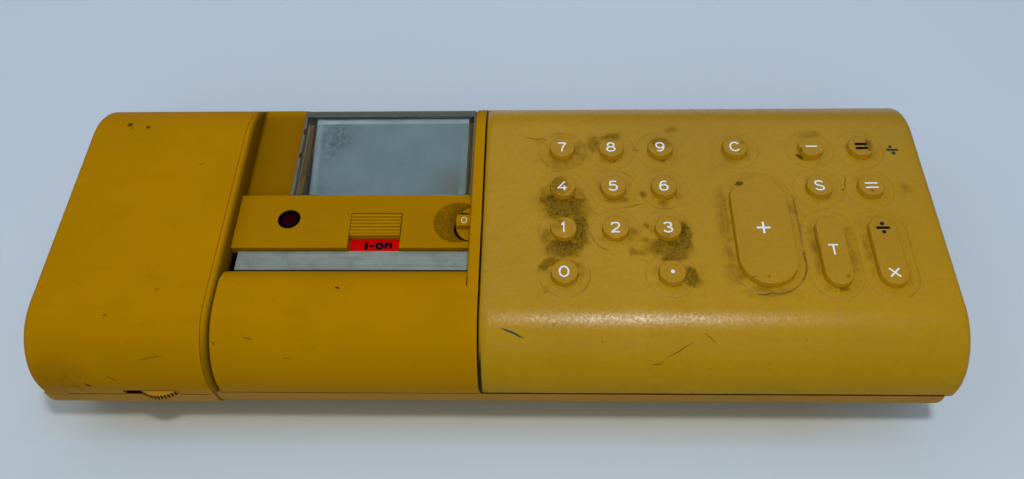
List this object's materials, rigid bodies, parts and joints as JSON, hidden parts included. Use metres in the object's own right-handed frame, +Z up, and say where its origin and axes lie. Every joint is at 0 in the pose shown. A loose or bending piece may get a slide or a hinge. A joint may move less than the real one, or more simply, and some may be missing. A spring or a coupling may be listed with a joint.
{
  "type": "printing calculator",
  "caption": "Slim desk printing calculator with a soft moulded keyboard skin, a recessed paper printer under a clear window and a slide-off power module.",
  "frame": {"origin": "on the table under the middle of the body", "axes": "+X along the body to the keyboard's end, +Y to the back, +Z up"},
  "size_m": [0.311, 0.123, 0.0472],
  "materials": {
    "yellow_plastic": "fine satin moulded plastic, a little worn",
    "soft_skin": "soft moulded skin with a fine grain, soiled round the keys",
    "soft_key": "soft moulded key with a printed sign",
    "dark_frame": "moulded support frame",
    "clear_plastic": "clear smoked sheet",
    "silver_strip": "bare satin strip",
    "lamp_red": "dark red lens",
    "flag_red": "bright red flag",
    "metal_paper": "silvery coated paper",
    "steel": "plain steel",
    "brass": "turned brass",
    "dark_rubber": "dark rubber",
    "black_plastic": "black moulding",
    "gear_plastic": "natural gear plastic",
    "circuit_board": "resin board",
    "cell_wrap": "sleeved cells",
    "core_iron": "stacked iron core with a taped coil"
  },
  "bodies": {
    "case": {"base_tray": "yellow_plastic", "tray_feet": "dark_rubber", "base_screws": "steel", "printer_housing": "yellow_plastic", "front_cover": "yellow_plastic", "control_bar": "yellow_plastic", "name_plate": "silver_strip", "lamp_lens": "lamp_red", "on_flag": "flag_red", "switch_body": "black_plastic", "dial_switch": "black_plastic", "roll_spindle": "steel", "paper_web": "metal_paper", "printer_frame": "steel", "feed_motor": "steel", "guide_rods": "steel", "carriage_motor": "steel", "keyboard_frame": "dark_frame", "keyboard_skin": "soft_skin", "contact_board": "circuit_board", "contact_domes": "steel", "logic_board": "circuit_board", "logic_chips": "black_plastic", "power_socket": "black_plastic"},
    "power_module": {"module_cover": "yellow_plastic", "module_base": "yellow_plastic", "module_feet": "dark_rubber", "battery_cells": "cell_wrap", "transformer": "core_iron", "module_plug": "black_plastic"},
    "latch": {"release_latch": "yellow_plastic"},
    "switch": {"switch_slider": "yellow_plastic"},
    "dial": {"decimal_dial": "yellow_plastic"},
    "window": {"paper_window": "clear_plastic"},
    "roll": {"paper_roll": "metal_paper"},
    "platen": {"platen_roller": "dark_rubber", "platen_shaft": "steel", "platen_gear": "gear_plastic"},
    "pinion": {"motor_pinion": "brass"},
    "carriage": {"print_carriage": "black_plastic"},
    "screw": {"lead_screw": "brass"},
    "key_0_body": {"key_0": "soft_key"},
    "key_1_body": {"key_1": "soft_key"},
    "key_2_body": {"key_2": "soft_key"},
    "key_3_body": {"key_3": "soft_key"},
    "key_4_body": {"key_4": "soft_key"},
    "key_5_body": {"key_5": "soft_key"},
    "key_6_body": {"key_6": "soft_key"},
    "key_7_body": {"key_7": "soft_key"},
    "key_8_body": {"key_8": "soft_key"},
    "key_9_body": {"key_9": "soft_key"},
    "key_point_body": {"key_point": "soft_key"},
    "key_clear_body": {"key_clear": "soft_key"},
    "key_minus_body": {"key_minus": "soft_key"},
    "key_result_body": {"key_result": "soft_key"},
    "key_sub_body": {"key_sub": "soft_key"},
    "key_equals_body": {"key_equals": "soft_key"},
    "key_plus_body": {"key_plus": "soft_key"},
    "key_total_body": {"key_total": "soft_key"},
    "key_ratio_body": {"key_ratio": "soft_key"}
  },
  "joints": [
    {"name": "module_slide", "type": "slide", "parent": "case", "child": "power_module", "axis": [-1, 0, 0], "range_m": [0, 0.04]},
    {"name": "latch_slide", "type": "slide", "parent": "power_module", "child": "latch", "axis": [-1, 0, 0], "range_m": [0, 0.006]},
    {"name": "switch_slide", "type": "slide", "parent": "case", "child": "switch", "axis": [0, -1, 0], "range_m": [0, 0.0054]},
    {"name": "dial_turn", "type": "hinge", "parent": "case", "child": "dial", "pos_m": [-0.0055, -0.0036, 0.038], "axis": [0, 0, 1], "range_deg": [-90, 90]},
    {"name": "window_hinge", "type": "hinge", "parent": "case", "child": "window", "pos_m": [-0.0418, 0.0488, 0.0351], "axis": [-1, 0, 0], "range_deg": [0, 75]},
    {"name": "platen_turn", "type": "hinge", "parent": "case", "child": "platen", "pos_m": [-0.0418, 0.0115, 0.0247], "axis": [1, 0, 0], "continuous": true},
    {"name": "pinion_turn", "type": "hinge", "parent": "case", "child": "pinion", "pos_m": [-0.076, 0.0115, 0.01408], "axis": [1, 0, 0], "continuous": true},
    {"name": "roll_turn", "type": "hinge", "parent": "case", "child": "roll", "pos_m": [-0.0418, 0.033, 0.0195], "axis": [1, 0, 0], "continuous": true},
    {"name": "carriage_slide", "type": "slide", "parent": "case", "child": "carriage", "axis": [1, 0, 0], "range_m": [0, 0.045]},
    {"name": "screw_turn", "type": "hinge", "parent": "case", "child": "screw", "pos_m": [-0.0418, -0.00658, 0.0217], "axis": [1, 0, 0], "range_deg": [-5, 1630]},
    {"name": "key_0_press", "type": "slide", "parent": "case", "child": "key_0_body", "axis": [0, 0, -1], "range_m": [0, 0.0018], "stiffness_N_per_m": 400},
    {"name": "key_1_press", "type": "slide", "parent": "case", "child": "key_1_body", "axis": [0, 0, -1], "range_m": [0, 0.0018], "stiffness_N_per_m": 400},
    {"name": "key_2_press", "type": "slide", "parent": "case", "child": "key_2_body", "axis": [0, 0, -1], "range_m": [0, 0.0018], "stiffness_N_per_m": 400},
    {"name": "key_3_press", "type": "slide", "parent": "case", "child": "key_3_body", "axis": [0, 0, -1], "range_m": [0, 0.0018], "stiffness_N_per_m": 400},
    {"name": "key_4_press", "type": "slide", "parent": "case", "child": "key_4_body", "axis": [0, 0, -1], "range_m": [0, 0.0018], "stiffness_N_per_m": 400},
    {"name": "key_5_press", "type": "slide", "parent": "case", "child": "key_5_body", "axis": [0, 0, -1], "range_m": [0, 0.0018], "stiffness_N_per_m": 400},
    {"name": "key_6_press", "type": "slide", "parent": "case", "child": "key_6_body", "axis": [0, 0, -1], "range_m": [0, 0.0018], "stiffness_N_per_m": 400},
    {"name": "key_7_press", "type": "slide", "parent": "case", "child": "key_7_body", "axis": [0, 0, -1], "range_m": [0, 0.0018], "stiffness_N_per_m": 400},
    {"name": "key_8_press", "type": "slide", "parent": "case", "child": "key_8_body", "axis": [0, 0, -1], "range_m": [0, 0.0018], "stiffness_N_per_m": 400},
    {"name": "key_9_press", "type": "slide", "parent": "case", "child": "key_9_body", "axis": [0, 0, -1], "range_m": [0, 0.0018], "stiffness_N_per_m": 400},
    {"name": "key_point_press", "type": "slide", "parent": "case", "child": "key_point_body", "axis": [0, 0, -1], "range_m": [0, 0.0018], "stiffness_N_per_m": 400},
    {"name": "key_clear_press", "type": "slide", "parent": "case", "child": "key_clear_body", "axis": [0, 0, -1], "range_m": [0, 0.0018], "stiffness_N_per_m": 400},
    {"name": "key_minus_press", "type": "slide", "parent": "case", "child": "key_minus_body", "axis": [0, 0, -1], "range_m": [0, 0.0018], "stiffness_N_per_m": 400},
    {"name": "key_result_press", "type": "slide", "parent": "case", "child": "key_result_body", "axis": [0, 0, -1], "range_m": [0, 0.0018], "stiffness_N_per_m": 400},
    {"name": "key_sub_press", "type": "slide", "parent": "case", "child": "key_sub_body", "axis": [0, 0, -1], "range_m": [0, 0.0018], "stiffness_N_per_m": 400},
    {"name": "key_equals_press", "type": "slide", "parent": "case", "child": "key_equals_body", "axis": [0, 0, -1], "range_m": [0, 0.0018], "stiffness_N_per_m": 400},
    {"name": "key_plus_press", "type": "slide", "parent": "case", "child": "key_plus_body", "axis": [0, 0, -1], "range_m": [0, 0.0018], "stiffness_N_per_m": 400},
    {"name": "key_total_press", "type": "slide", "parent": "case", "child": "key_total_body", "axis": [0, 0, -1], "range_m": [0, 0.0018], "stiffness_N_per_m": 400},
    {"name": "key_ratio_press", "type": "slide", "parent": "case", "child": "key_ratio_body", "axis": [0, 0, -1], "range_m": [0, 0.0018], "stiffness_N_per_m": 400}
  ],
  "couplings": [
    {"joint": "pinion_turn", "follows": "platen_turn", "ratio": -2},
    {"joint": "roll_turn", "follows": "platen_turn", "ratio": 0.46154},
    {"joint": "screw_turn", "follows": "carriage_slide", "rad_per_m": 628.32}
  ]
}
